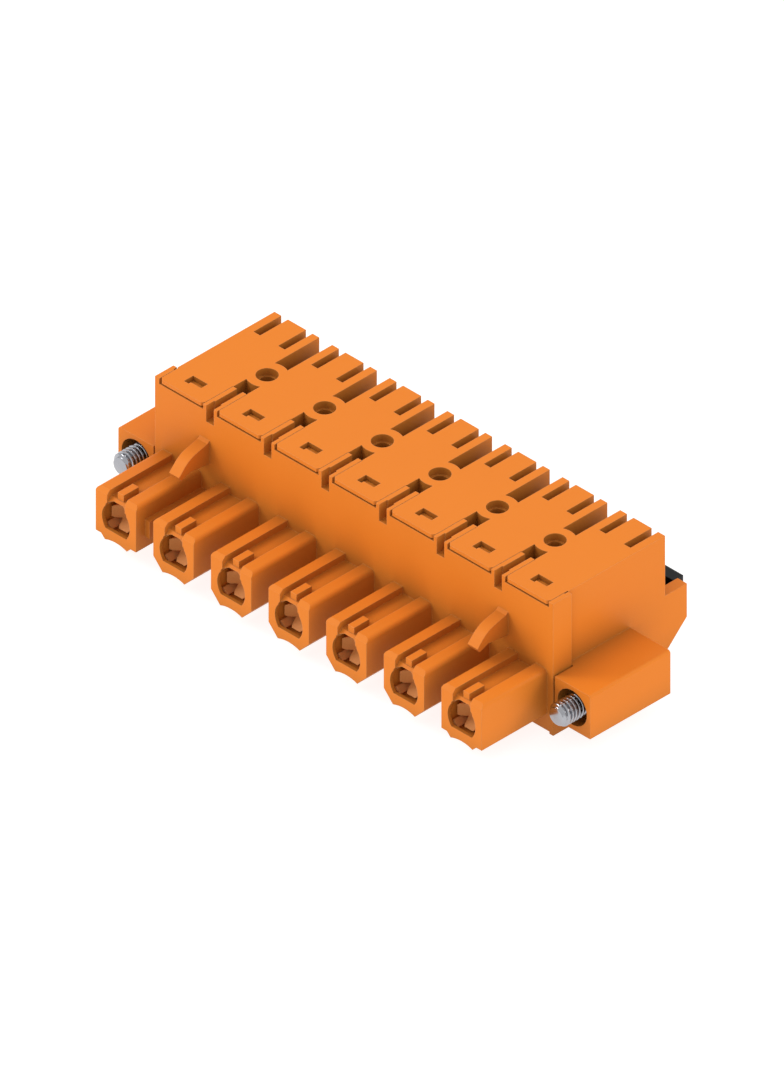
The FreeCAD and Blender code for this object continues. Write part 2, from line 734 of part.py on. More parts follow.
def add_peg_holes(body):
    """Pocket, notch, boss and stepped peg hole at every boundary between two poles."""
    half = "(size.pitch / 2 - size.tongue_width / 2 - size.joint_gap)"
    top = "size.block_height"
    sketch = plan_sketch(body, "pocket_outline", top)
    rectangle(sketch, f"{FIRST_GAP} - {half}", f"{FIRST_GAP} + {half}", "size.shelf_depth",
              "size.boss_setback")
    pocket = cut_down(body, "pocket", sketch, "size.pocket_depth")

    half = "size.notch_width / 2"
    sketch = plan_sketch(body, "notch_outline", top)
    rectangle(sketch, f"{FIRST_GAP} - {half}", f"{FIRST_GAP} + {half}", "size.boss_setback",
              "size.block_depth")
    notch = cut_down(body, "notch", sketch, "size.notch_depth")

    sketch = plan_sketch(body, "boss_outline", f"{top} - size.pocket_depth")
    circle(sketch, FIRST_GAP, "size.boss_setback", "size.boss_radius")
    boss = extrude(body, "Pad", "boss", sketch, "size.pocket_depth")

    sketch = plan_sketch(body, "peg_outline", top)
    circle(sketch, FIRST_GAP, "size.boss_setback", "size.peg_radius")
    peg = cut_down(body, "peg_hole", sketch, "size.peg_step")

    sketch = plan_sketch(body, "peg_inner_outline", top)
    circle(sketch, FIRST_GAP, "size.boss_setback", "size.peg_inner_radius")
    inner = cut_down(body, "peg_inner_hole", sketch, "size.peg_depth")
    between_poles(body, "peg_holes", [pocket, notch, boss, peg, inner])


def add_clamp_chambers(body):
    half = "size.clamp_width / 2"
    sketch = cross_sketch(body, "clamp_outline", CLAMP_FRONT)
    rectangle(sketch, f"{FIRST_POLE} - {half}", f"{FIRST_POLE} + {half}", "size.clamp_floor",
              CLAMP_CEILING)
    chamber = cut_back(body, "clamp_chamber", sketch, f"size.clamp_back - {CLAMP_FRONT}")

    bore_start = "size.clamp_back - size.joint_gap"
    low = "(size.block_height - size.wire_drop)"
    bore, funnel = "size.wire_radius", "size.funnel_radius"
    sketch = side_sketch(body, "wire_entry_outline", FIRST_POLE)
    entry = turn(body, "Groove", "wire_entry", sketch, [
        (bore_start, low), ("size.block_depth", low),
        ("size.block_depth", f"{low} + {funnel}"),
        ("size.block_depth - size.funnel_length", f"{low} + {bore}"),
        (bore_start, f"{low} + {bore}"),
    ], low)

    spread = "size.comb_slot_spacing / 2"
    slot_half = "size.comb_slot_width / 2"
    sketch = plan_sketch(body, "comb_outline", "size.block_height")
    for side in (f"{FIRST_POLE} - {spread}", f"{FIRST_POLE} + {spread}"):
        rectangle(sketch, f"{side} - {slot_half}", f"{side} + {slot_half}",
                  "size.block_depth - size.comb_slot_length", "size.block_depth")
    comb = cut_down(body, "comb_slots", sketch, "size.comb_slot_depth")
    at_each_pole(body, "clamp_chambers", [chamber, entry, comb])


def add_button_bays(body):
    sketch = side_sketch(body, "bay_outline", FIRST_POLE)
    rectangle(sketch, "size.block_depth", STEP_BACK, "size.bay_floor", "size.step_height")
    bay = cut_wide(body, "button_bay", sketch, "size.bay_width")

    half = "(size.stem_width / 2 + size.button_gap)"
    sketch = cross_sketch(body, "stem_hole_outline", "size.clamp_back - size.joint_gap")
    rectangle(sketch, f"{FIRST_POLE} - {half}", f"{FIRST_POLE} + {half}",
              "size.stem_low - size.button_gap", "size.stem_low + size.stem_height + size.button_gap")
    hole = cut_back(body, "stem_hole", sketch, "size.block_depth - size.clamp_back + size.joint_gap")
    at_each_pole(body, "button_bays", [bay, hole])


def add_flanges(body):
    outer = f"({BLOCK_HALF} + size.flange_reach)"
    inner = f"({BLOCK_HALF} - size.joint_gap)"
    low, high = "size.flange_low", "size.flange_low + size.flange_height"
    flange_sketch = cross_sketch(body, "flange_outline", "size.flange_setback")
    rectangle(flange_sketch, f"-{outer}", f"-{inner}", low, high)
    rectangle(flange_sketch, inner, outer, low, high)
    pad_back(body, "flanges", flange_sketch, "size.flange_depth")
    round_corners(body, "flange_rounding", flange_sketch, [3, 6], "size.flange_rounding")

    seam = f"({FRAME_HALF} + size.flange_seam)"
    sketch = cross_sketch(body, "flange_seam_outline", "0")
    rectangle(sketch, f"-{seam}", f"-{inner}", "0", "size.block_height")
    rectangle(sketch, inner, seam, "0", "size.block_height")
    cut_back(body, "flange_seam", sketch, "size.skirt_lap + size.joint_gap")

    face, back = "size.flange_setback", "size.flange_setback + size.flange_depth"
    wide = f"{face} + size.flange_hole_depth"
    seat = f"{back} - size.screw_head_depth - size.screw_head_height"
    axis = "size.screw_height"
    bore = f"{axis} + size.screw_radius + size.running_gap"
    head = f"{axis} + size.screw_head_radius + size.running_gap"
    sketch = side_sketch(body, "screw_hole_outline", f"-{SCREW_X}")
    hole = turn(body, "Groove", "screw_hole", sketch, [
        (face, axis), (back, axis), (back, head), (seat, head), (seat, bore), (wide, bore),
        (wide, f"{axis} + size.flange_hole_radius"), (face, f"{axis} + size.flange_hole_radius"),
    ], axis)
    along_row(body, "screw_holes", [hole], 2, f"2 * {SCREW_X}")


def build_clamp_housing():
    body = new_body("clamp_housing")
    add_block(body)
    add_flanges(body)
    add_tongues(body)
    add_peg_holes(body)
    add_clamp_chambers(body)
    add_button_bays(body)
    return body


# Socket contact: four spring leaves round an axis, a square sleeve, corner strips and the current bar

def add_corner_strips(body, front, root):
    """Four flat strips that run forwards from the sleeve's corners, between the leaves."""
    near, far = "size.strip_radius", "(size.strip_radius + size.leaf_thickness)"
    half, slant = "size.strip_width / 2", "sqrt(0.5)"
    start = f"{front} + size.strip_setback - size.leaf_setback"
    sketch = cross_sketch(body, "corner_strip_outline", start)
    outline(sketch, [
        (f"({near} + {half}) * {slant}", f"({near} - {half}) * {slant}"),
        (f"({far} + {half}) * {slant}", f"({far} - {half}) * {slant}"),
        (f"({far} - {half}) * {slant}", f"({far} + {half}) * {slant}"),
        (f"({near} - {half}) * {slant}", f"({near} + {half}) * {slant}"),
    ])
    strip = pad_back(body, "corner_strip", sketch, f"{root} + size.strip_lap - ({start})")
    four_times(body, "corner_strips", [strip])


def build_contact(pole):
    body = new_body(f"contact_{pole + 1}", pole_x(pole), "size.axis_height")
    front = "(size.leaf_setback - size.chamber_length)"
    root = f"({front} + size.leaf_length)"
    throat = f"({front} + size.leaf_throat_setback - size.leaf_setback)"
    thick = "size.leaf_thickness"
    shell = "size.sleeve_width / 2"
    sketch = side_sketch(body, "leaf_outline")
    outline(sketch, [
        (front, "size.leaf_mouth"), (throat, "size.leaf_throat"),
        (f"{throat} + {thick}", "size.leaf_throat"), (root, f"{shell} - {thick}"),
        (f"{root} + {thick}", f"{shell} - {thick}"), (f"{root} + {thick}", shell),
        (root, shell), (f"{throat} + {thick} / 2", f"size.leaf_throat + {thick}"),
        (f"{front} + size.leaf_end_back", "size.leaf_mouth + size.leaf_end_out"),
    ])
    leaf = pad_wide(body, "leaf", sketch, "size.leaf_width")

    radius, flat, centre = "size.leaf_tip_radius", "size.leaf_tip_flat", "size.leaf_tip_centre"
    top = f"({centre} + {radius})"
    sketch = cross_sketch(body, "leaf_tip_outline", front)
    outline(sketch, [(flat, top), (radius, top), (radius, centre)])
    outline(sketch, [(f"-{flat}", top), (f"-{radius}", centre), (f"-{radius}", top)])
    doc.recompute()
    bow(sketch, 2, radius)
    bow(sketch, 3, radius)
    tip = cut_back(body, "leaf_tip", sketch, f"{throat} - {front}")
    four_times(body, "leaves", [leaf, tip])

    hole = f"({shell} - {thick})"
    sketch = cross_sketch(body, "sleeve_outline", root)
    rectangle(sketch, f"-{shell}", shell, f"-{shell}", shell)
    rectangle(sketch, f"-{hole}", hole, f"-{hole}", hole)
    pad_back(body, "sleeve", sketch, "size.sleeve_length")
    add_corner_strips(body, front, root)

    riser, strip = "size.bar_riser", "size.bar_thickness"
    ceiling = f"{CLAMP_CEILING} - size.axis_height - size.joint_gap"
    sketch = side_sketch(body, "bar_outline")
    outline(sketch, [
        ("-size.bar_tail", f"{shell} - {strip}"), (riser, f"{shell} - {strip}"),
        (riser, f"{ceiling} - {strip}"), ("size.bar_length", f"{ceiling} - {strip}"),
        ("size.bar_length", ceiling), (f"{riser} - {strip}", ceiling),
        (f"{riser} - {strip}", shell), ("-size.bar_tail", shell),
    ])
    pad_wide(body, "current_bar", sketch, "size.sleeve_width")
    round_corners(body, "bar_inner_bends", sketch, [2, 6], "size.bar_bend")
    round_corners(body, "bar_outer_bends", sketch, [1, 5], "size.bar_bend + size.bar_thickness")
    return body


# Clamp spring: a strip bent into a foot, a round heel and a leg that presses the wire on the bar

def build_clamp_spring(pole):
    body = new_body(f"clamp_spring_{pole + 1}", pole_x(pole))
    slope = "(size.spring_angle * 1 deg)"
    foot = "(size.clamp_floor + size.joint_gap)"
    top = f"({CLAMP_CEILING} - 2 * size.joint_gap - size.bar_thickness)"
    rise = f"({top} - {foot})"
    level = f"(size.spring_thickness / sin{slope})"
    tip = f"(size.spring_heel - {rise} / tan{slope})"
    inner = f"size.spring_heel - size.spring_thickness / tan{slope} - {level}"
    sketch = side_sketch(body, "spring_outline")
    outline(sketch, [
        ("size.spring_start", foot), ("size.spring_heel", foot), (tip, top),
        (f"{tip} - {level}", top), (inner, f"{foot} + size.spring_thickness"),
        ("size.spring_start", f"{foot} + size.spring_thickness"),
    ])
    pad_wide(body, "strip", sketch, "size.spring_width")
    round_corners(body, "inner_bend", sketch, [4], "size.spring_bend")
    round_corners(body, "outer_bend", sketch, [1], "size.spring_bend + size.spring_thickness")
    return body


# Release button: a head that fills its bay, a stem that reaches the spring, and a barb that keeps it in

def build_release_button(pole):
    body = new_body(f"release_button_{pole + 1}", pole_x(pole))
    low = "(size.bay_floor + size.button_gap)"
    head_front = f"({BUTTON_BACK} - size.button_head_thickness)"
    stem_top = "(size.stem_low + size.stem_height)"
    head_sketch = cross_sketch(body, "head_outline", head_front)
    half = "(size.bay_width / 2 - size.button_gap)"
    rectangle(head_sketch, f"-{half}", half, low, f"{low} + size.button_height")
    pad_back(body, "head", head_sketch, "size.button_head_thickness")

    half = "size.stem_width / 2"
    sketch = cross_sketch(body, "stem_outline", "size.stem_front")
    rectangle(sketch, f"-{half}", half, "size.stem_low", stem_top)
    pad_back(body, "stem", sketch, f"{head_front} - size.stem_front")

    barb_back = "(size.clamp_back - size.button_gap)"
    sketch = side_sketch(body, "barb_outline")
    outline(sketch, [
        (f"{barb_back} - size.barb_length", stem_top), (barb_back, stem_top),
        (barb_back, f"{stem_top} + size.barb_height"),
    ])
    pad_wide(body, "barb", sketch, "size.stem_width")

    middle = f"({low} + size.button_height / 2)"
    half, tall = "size.button_dimple_width / 2", "size.button_dimple_height / 2"
    sketch = cross_sketch(body, "dimple_outline", f"{BUTTON_BACK} - size.button_dimple_depth")
    rectangle(sketch, f"-{half}", half, f"{middle} - {tall}", f"{middle} + {tall}")
    cut_back(body, "dimple", sketch, "size.button_dimple_depth")

    doc.recompute()
    back = body.Tip.Shape.BoundBox.YMax
    corners = [head_sketch.Placement.multVec(line.StartPoint) for line in head_sketch.Geometry]
    rim = []
    for place, following in zip(corners, corners[1:] + corners[:1]):
        start = FreeCAD.Vector(place.x, back, place.z)
        rim.append((start, FreeCAD.Vector(following.x, back, following.z) - start))
    dress(body, "Fillet", "head_rounding", rim, "Radius", "size.button_rounding")
    return body


# Flange screw: thread tip in front, thinner neck, slotted head sunk in the back of the flange

def build_flange_screw(name, x):
    body = new_body(name, x, "size.screw_height")
    tip = "(size.flange_setback - size.screw_reach)"
    point = "size.screw_point"
    back = "(size.flange_setback + size.flange_depth - size.screw_head_depth)"
    seat = f"({back} - size.screw_head_height + size.running_gap)"
    thread, neck, head = "size.screw_radius", "size.screw_neck_radius", "size.screw_head_radius"
    neck_start = f"({tip} + size.screw_thread_length)"
    sketch = side_sketch(body, "screw_outline")
    turn(body, "Revolution", "screw", sketch, [
        (tip, "0"), (tip, f"{thread} - {point}"), (f"{tip} + {point}", thread),
        (neck_start, thread), (f"{neck_start} + {thread} - {neck}", neck),
        (seat, neck), (seat, head), (back, head), (back, "0"),
    ], "0")
    sketch = cross_sketch(body, "slot_outline", f"{back} - size.screw_slot_depth")
    half = "size.screw_slot_width / 2"
    rectangle(sketch, f"-{head}", head, f"-{half}", half)
    cut_back(body, "slot", sketch, "size.screw_slot_depth")
    return body


def check_document():
    for item in doc.Objects:
        if "Invalid" in item.State or "Error" in item.State:
            raise RuntimeError(f"{item.Name} failed: {item.State}")


def write_parts(bodies):
    check_document()
    os.makedirs("parts", exist_ok=True)
    for body in bodies:
        shape = body.Shape
        if shape.isNull() or not shape.isValid() or len(shape.Solids) != 1:
            raise RuntimeError(f"{body.Label} is not one sound solid")
        shape.exportStep(f"parts/{body.Label}.step")


bodies = [build_contact_housing(), build_clamp_housing()]
for pole in range(POLES):
    bodies.append(build_contact(pole))
    bodies.append(build_clamp_spring(pole))
    bodies.append(build_release_button(pole))
bodies.append(build_flange_screw("flange_screw_left", f"-{SCREW_X}"))
bodies.append(build_flange_screw("flange_screw_right", SCREW_X))
doc.recompute()
write_parts(bodies)
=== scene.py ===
import math

import bmesh
import bpy
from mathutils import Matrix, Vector


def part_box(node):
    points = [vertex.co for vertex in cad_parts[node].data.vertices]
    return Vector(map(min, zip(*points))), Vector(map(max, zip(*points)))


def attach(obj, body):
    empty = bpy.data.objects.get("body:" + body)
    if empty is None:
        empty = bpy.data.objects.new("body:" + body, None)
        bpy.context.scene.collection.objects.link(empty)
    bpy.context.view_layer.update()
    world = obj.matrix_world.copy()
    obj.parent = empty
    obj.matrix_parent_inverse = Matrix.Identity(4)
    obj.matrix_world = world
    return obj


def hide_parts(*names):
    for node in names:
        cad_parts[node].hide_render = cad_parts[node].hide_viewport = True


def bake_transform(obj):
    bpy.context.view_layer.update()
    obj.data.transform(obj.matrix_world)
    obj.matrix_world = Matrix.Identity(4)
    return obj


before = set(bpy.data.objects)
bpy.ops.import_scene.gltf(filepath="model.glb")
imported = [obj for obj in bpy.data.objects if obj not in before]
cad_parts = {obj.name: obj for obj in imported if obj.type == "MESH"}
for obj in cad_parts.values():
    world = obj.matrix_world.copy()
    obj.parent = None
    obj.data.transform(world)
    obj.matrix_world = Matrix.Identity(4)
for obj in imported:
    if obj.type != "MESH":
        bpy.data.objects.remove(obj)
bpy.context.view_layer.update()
MM = 0.001


# Camera: a parallel view from the right of the mating side, half round and a third down, so the top,
# the front with its contact chambers and the right-hand flange all show.
VIEW_AZIMUTH = math.radians(45)
VIEW_ELEVATION = math.radians(35)
VIEW_WIDTH = 0.0997
VIEW_DISTANCE = 0.6
AIM = Vector((0, -0.28, 7.65)) * MM
away = Vector((
    math.sin(VIEW_AZIMUTH) * math.cos(VIEW_ELEVATION),
    -math.cos(VIEW_AZIMUTH) * math.cos(VIEW_ELEVATION),
    math.sin(VIEW_ELEVATION),
))
lens = bpy.data.cameras.new("camera")
lens.type = "ORTHO"
lens.ortho_scale = VIEW_WIDTH
lens.clip_start = 0.01
lens.clip_end = 10
camera = bpy.data.objects.new("camera", lens)
camera.location = AIM + away * VIEW_DISTANCE
camera.rotation_euler = away.to_track_quat("Z", "Y").to_euler()
bpy.context.scene.collection.objects.link(camera)
bpy.context.scene.camera = camera
bpy.context.scene.view_settings.view_transform = "Standard"


# Housings: the contact housing with its chambers and hooks, and the clamp housing with its tongues,
# comb and flanges. Both are glass-filled polyamide, injection moulded in one bright orange. Their
# colour carries a painted highlight on the edges and painted shade in crevices. The clamp housing's
# closed pockets and bores get more painted shade inside than the open grooves between the chambers.
CLOUDS_PER_METRE = 170
EDGE_STARTS, EDGE_FULL = 0.995, 0.8
OPEN_PLACE, TIGHT_PLACE = 0.95, 0.44
CREVICE_SHADE_SHARE = 0.74
CAVITY_BOTTOM, CAVITY_MOUTH = 0.05, 0.45
NOISE_RANGE = (0.3, 0.7)
MOULDED_GLOSS_SPREAD = 0.05
GRAIN_STRENGTH = 0.5
COLOR, FLOAT, VECTOR = "NodeSocketColor", "NodeSocketFloat", "NodeSocketVector"


def feed(tree, socket, value):
    """Link a socket to another node's output, or set it to a number or colour."""
    if isinstance(value, bpy.types.NodeSocket):
        tree.links.new(value, socket)
    else:
        socket.default_value = value


def add_node(tree, kind, **values):
    """A node of this kind, with its settings and what its named inputs take."""
    node = tree.nodes.new(kind)
    for name, value in values.items():
        label = name.replace("_", " ")
        if label in node.inputs:
            feed(tree, node.inputs[label], value)
        else:
            setattr(node, name, value)
    return node


def new_group(name, inputs):
    """A node group with named inputs and defaults, for a colour, a roughness and a normal."""
    group = bpy.data.node_groups.new(name, "ShaderNodeTree")
    for label, kind, value in inputs:
        socket = group.interface.new_socket(label, in_out="INPUT", socket_type=kind)
        socket.default_value = value
    for label, kind in (("Colour", COLOR), ("Roughness", FLOAT), ("Normal", VECTOR)):
        group.interface.new_socket(label, in_out="OUTPUT", socket_type=kind)
    start = group.nodes.new("NodeGroupInput")
    end = group.nodes.new("NodeGroupOutput")
    return group, start.outputs, end.inputs


def mixed(tree, share, low, high):
    """A colour between two others."""
    return add_node(
        tree, "ShaderNodeMix", data_type="RGBA", Factor=share, A=low, B=high,
    ).outputs["Result"]


def remapped(tree, value, before, after):
    """A value moved from one range to another, and held within it."""
    return add_node(
        tree, "ShaderNodeMapRange", Value=value,
        From_Min=before[0], From_Max=before[1], To_Min=after[0], To_Max=after[1],
    ).outputs["Result"]


def calculated(tree, operation, first, second):
    """The outcome of an operation on two values, each a number or a node's output."""
    node = add_node(tree, "ShaderNodeMath", operation=operation)
    feed(tree, node.inputs[0], first)
    feed(tree, node.inputs[1], second)
    return node.outputs[0]


def uneven(tree, roughness, noise, spread):
    """A roughness that goes up and down with a noise."""
    swing = remapped(tree, noise, NOISE_RANGE, (-spread, spread))
    return calculated(tree, "ADD", roughness, swing)


def embossed(tree, normal, height, depth, strength):
    """A normal with a fine relief on it."""
    return add_node(
        tree, "ShaderNodeBump", Strength=strength, Distance=depth, Height=height, Normal=normal,
    ).outputs["Normal"]


moulded, given, result = new_group("moulded_surface", [
    ("Colour", COLOR, (0.8, 0.3, 0.05, 1)), ("Deep Colour", COLOR, (0.6, 0.2, 0.03, 1)),
    ("Edge Colour", COLOR, (0.9, 0.5, 0.2, 1)), ("Crevice Colour", COLOR, (0.2, 0.05, 0.01, 1)),
    ("Crevice Reach", FLOAT, 0.002), ("Inner Dimming", FLOAT, 1), ("Edge Radius", FLOAT, 0.0001),
    ("Roughness", FLOAT, 0.45), ("Grain Size", FLOAT, 0.00012), ("Grain Depth", FLOAT, 0.000002),
])
place = add_node(moulded, "ShaderNodeTexCoord").outputs["Object"]

# Faint clouds in the colour
clouds = add_node(
    moulded, "ShaderNodeTexNoise", Vector=place, Scale=CLOUDS_PER_METRE, Detail=3, Roughness=0.55,
).outputs["Fac"]
colour = mixed(moulded, clouds, given["Deep Colour"], given["Colour"])

# Painted highlight: a lighter colour on the edges, where the rounded normal leans away from the face's
# own
rounded = add_node(
    moulded, "ShaderNodeBevel", samples=6, Radius=given["Edge Radius"],
).outputs["Normal"]
flat = add_node(moulded, "ShaderNodeNewGeometry").outputs["True Normal"]
lean = add_node(moulded, "ShaderNodeVectorMath", operation="DOT_PRODUCT")
feed(moulded, lean.inputs[0], rounded)
feed(moulded, lean.inputs[1], flat)
edge_highlight = remapped(moulded, lean.outputs["Value"], (EDGE_STARTS, EDGE_FULL), (0, 1))
colour = mixed(moulded, edge_highlight, colour, given["Edge Colour"])

# Painted shade: a darker colour in crevices, with the shade at the bottom of hollows scaled by its own
# factor
openness = add_node(
    moulded, "ShaderNodeAmbientOcclusion", samples=8, Distance=given["Crevice Reach"],
).outputs["AO"]
crevice_shade = remapped(moulded, openness, (OPEN_PLACE, TIGHT_PLACE), (0, CREVICE_SHADE_SHARE))
cavity_shade = remapped(moulded, openness, (CAVITY_BOTTOM, CAVITY_MOUTH), (given["Inner Dimming"], 1))
painted_shade = calculated(moulded, "MULTIPLY", crevice_shade, cavity_shade)
colour = mixed(moulded, painted_shade, colour, given["Crevice Colour"])
feed(moulded, result["Colour"], colour)

# The mould's satin texture: a fine grain, and a gloss that follows the clouds
fineness = calculated(moulded, "DIVIDE", 1, given["Grain Size"])
grain = add_node(
    moulded, "ShaderNodeTexNoise", Vector=place, Scale=fineness, Detail=2, Roughness=0.6,
).outputs["Fac"]
gloss = uneven(moulded, given["Roughness"], clouds, MOULDED_GLOSS_SPREAD)
feed(moulded, result["Roughness"], gloss)
relief = embossed(moulded, rounded, grain, given["Grain Depth"], GRAIN_STRENGTH)
feed(moulded, result["Normal"], relief)


def new_material(name, group, shader_values, **surface):
    """A material whose shader takes its colour, roughness and normal from a surface group."""
    material = bpy.data.materials.new(name)
    material.use_nodes = True
    tree = material.node_tree
    shader = tree.nodes["Principled BSDF"]
    for label, value in shader_values.items():
        shader.inputs[label].default_value = value
    source = add_node(tree, "ShaderNodeGroup", node_tree=group, **surface)
    feed(tree, shader.inputs["Base Color"], source.outputs["Colour"])
    feed(tree, shader.inputs["Roughness"], source.outputs["Roughness"])
    feed(tree, shader.inputs["Normal"], source.outputs["Normal"])
    return material


def finish_nodes(material, names):
    """Give CAD nodes this material in place of their own."""
    for name in names:
        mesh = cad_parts[name].data
        mesh.materials.clear()
        mesh.materials.append(material)


# Each housing: a painted highlight on the edges, and painted shade in crevices and hollows
for housing, painted_cavity_shade in (("contact_housing", 0.6), ("clamp_housing", 1.12)):
    orange = new_material(
        f"orange_polyamide_{housing}", moulded, {"Specular IOR Level": 0.1},
        Colour=(0.87, 0.242, 0.026, 1), Deep_Colour=(0.84, 0.228, 0.022, 1),
        Edge_Colour=(0.96, 0.36, 0.11, 1), Crevice_Colour=(0.33, 0.135, 0.024, 1),
        Crevice_Reach=4.5 * MM, Inner_Dimming=painted_cavity_shade, Edge_Radius=0.1 * MM,
        Roughness=0.42, Grain_Size=0.11 * MM, Grain_Depth=0.004 * MM,
    )
    finish_nodes(orange, [housing])


# Socket contacts: seven bare copper alloy strips, stamped and bent into a square sleeve with four
# spring leaves. Each runs back as a current bar into its clamp chamber. Where they are sheltered inside
# the chambers their colour is painted lighter, as painted light for the light they reflect on each
# other.
POLES = range(1, 8)
LINES_PER_METRE = (22000, 900, 22000)
BLOTCHES_PER_METRE = 900
SHELTER_STARTS = 0.7
ROLLED_GLOSS_SPREAD = 0.07
LINE_STRENGTH = 0.4

rolled, given, result = new_group("rolled_metal", [
    ("Colour", COLOR, (0.7, 0.7, 0.7, 1)), ("Dull Colour", COLOR, (0.5, 0.5, 0.5, 1)),
    ("Inner Colour", COLOR, (0.7, 0.7, 0.7, 1)), ("Inner Reach", FLOAT, 0.002),
    ("Roughness", FLOAT, 0.3), ("Edge Radius", FLOAT, 0.00005), ("Line Depth", FLOAT, 0.000002),
])
place = add_node(rolled, "ShaderNodeTexCoord").outputs["Object"]

# Blotches in the colour, and a painted shading colour, given by each material, where the metal is
# sheltered
blotches = add_node(
    rolled, "ShaderNodeTexNoise", Vector=place, Scale=BLOTCHES_PER_METRE, Detail=3,
).outputs["Fac"]
colour = mixed(rolled, blotches, given["Dull Colour"], given["Colour"])
openness = add_node(
    rolled, "ShaderNodeAmbientOcclusion", samples=8, Distance=given["Inner Reach"],
).outputs["AO"]
shelter_shading_share = remapped(rolled, openness, (SHELTER_STARTS, 0), (0, 1))
colour = mixed(rolled, shelter_shading_share, colour, given["Inner Colour"])
feed(rolled, result["Colour"], colour)

# Fine lines along the strip, from the rolling mill
stretched = add_node(
    rolled, "ShaderNodeMapping", Vector=place, Scale=LINES_PER_METRE,
).outputs["Vector"]
lines = add_node(rolled, "ShaderNodeTexNoise", Vector=stretched, Scale=1, Detail=2).outputs["Fac"]
gloss = uneven(rolled, given["Roughness"], lines, ROLLED_GLOSS_SPREAD)
feed(rolled, result["Roughness"], gloss)
rounded = add_node(
    rolled, "ShaderNodeBevel", samples=4, Radius=given["Edge Radius"],
).outputs["Normal"]
relief = embossed(rolled, rounded, lines, given["Line Depth"], LINE_STRENGTH)
feed(rolled, result["Normal"], relief)

# Painted light: sheltered places inside the chambers take a light copper colour
copper = new_material(
    "copper_alloy", rolled, {"Metallic": 0.25, "Specular IOR Level": 0.2},
    Colour=(0.40, 0.135, 0.026, 1), Dull_Colour=(0.36, 0.119, 0.023, 1),
    Inner_Colour=(1.00, 0.42, 0.14, 1), Inner_Reach=5 * MM, Roughness=0.45,
    Edge_Radius=0.06 * MM, Line_Depth=0.002 * MM,
)
finish_nodes(copper, [f"contact_{pole}" for pole in POLES])


# Clamp springs: seven strips of stainless spring steel, bent round a heel. The leg presses the wire up
# on the current bar, and the stem of a release button bends it forwards.
SPRING_THICKNESS = 0.35 * MM
SPRING_BEND = 1.025 * MM
SPRING_CORNER = 0.06 * MM
LEG_SLOPE = math.radians(59.6)
BEND_STEPS = 12
LEG_STEPS = 30
SHARP_CORNER = math.radians(40)


def skinned(name, rings, material):
    """A closed piece through rings of places, each ring with the same number of them."""
    mesh = bmesh.new()
    loops = [[mesh.verts.new(place) for place in ring] for ring in rings]
    count = len(loops[0])
    for loop, following in zip(loops, loops[1:]):
        for step in range(count):
            after = (step + 1) % count
            mesh.faces.new((loop[step], loop[after], following[after], following[step]))
    mesh.faces.new(reversed(loops[0]))
    mesh.faces.new(loops[-1])
    bmesh.ops.recalc_face_normals(mesh, faces=mesh.faces)
    data = bpy.data.meshes.new(name)
    mesh.to_mesh(data)
    mesh.free()
    data.materials.append(material)
    piece = bpy.data.objects.new(name, data)
    bpy.context.scene.collection.objects.link(piece)
    return piece


def soften(piece):
    """Smooth shading on round faces, with sharp corners kept."""
    piece.data.shade_smooth()
    piece.data.set_sharp_from_angle(angle=SHARP_CORNER)


def spring_line(low, high):
    """Middle of the strip's thickness from its foot to the leg's tip: places and outward directions."""
    half = SPRING_THICKNESS / 2
    heel = Vector((0, high.y - half - SPRING_BEND, low.z + half + SPRING_BEND))
    line = [(Vector((0, low.y, low.z + half)), Vector((0, 0, -1)))]
    for step in range(BEND_STEPS + 1):
        angle = (math.pi - LEG_SLOPE) * step / BEND_STEPS - math.pi / 2
        outward = Vector((0, math.cos(angle), math.sin(angle)))
        line.append((heel + outward * SPRING_BEND, outward))
    start, outward = line[-1]
    length = (high.z - half * math.cos(LEG_SLOPE) - start.z) / math.sin(LEG_SLOPE)
    leg = Vector((0, -math.cos(LEG_SLOPE), math.sin(LEG_SLOPE))) * length
    for step in range(1, LEG_STEPS + 1):
        line.append((start + leg * step / LEG_STEPS, outward))
    return line


def build_spring(pole):
    """The spring of one pole, from its foot to its leg, built in place of its CAD node."""
    low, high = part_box(f"clamp_spring_{pole}")
    middle = (low.x + high.x) / 2
    wide, thick = (high.x - low.x) / 2, SPRING_THICKNESS / 2
    flat, side = wide - SPRING_CORNER, thick - SPRING_CORNER
    section = [
        (wide, side), (flat, thick), (-flat, thick), (-wide, side),
        (-wide, -side), (-flat, -thick), (flat, -thick), (wide, -side),
    ]
    rings = [
        [place + outward * out + Vector((middle + across, 0, 0)) for across, out in section]
        for place, outward in spring_line(low, high)
    ]
    spring = skinned(f"bent_spring_{pole}", rings, spring_steel)
    soften(spring)
    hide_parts(f"clamp_spring_{pole}")
    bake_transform(spring)


spring_steel = new_material(
    "stainless_spring_steel", rolled, {"Metallic": 1.0},
    Colour=(0.60, 0.60, 0.61, 1), Dull_Colour=(0.48, 0.48, 0.50, 1),
    Inner_Colour=(0.54, 0.54, 0.56, 1), Inner_Reach=1 * MM, Roughness=0.28,
    Edge_Radius=0.05 * MM, Line_Depth=0.002 * MM,
)
for pole in POLES:
    build_spring(pole)


# Release buttons: seven black polyamide push buttons in the bays of the rear step, each with a shallow
# dimple for a screwdriver and a barb that keeps it in.
# Painted highlight on the edges, a little lighter, and painted shade in crevices, darker
black = new_material(
    "black_polyamide", moulded, {"Specular IOR Level": 0.2},
    Colour=(0.006, 0.007, 0.008, 1), Deep_Colour=(0.004, 0.004, 0.005, 1),
    Edge_Colour=(0.03, 0.033, 0.036, 1), Crevice_Colour=(0.004, 0.004, 0.004, 1),
    Crevice_Reach=1.0 * MM, Edge_Radius=0.15 * MM, Roughness=0.38,
    Grain_Size=0.1 * MM, Grain_Depth=0.004 * MM,
)
finish_nodes(black, [f"release_button_{pole}" for pole in POLES])


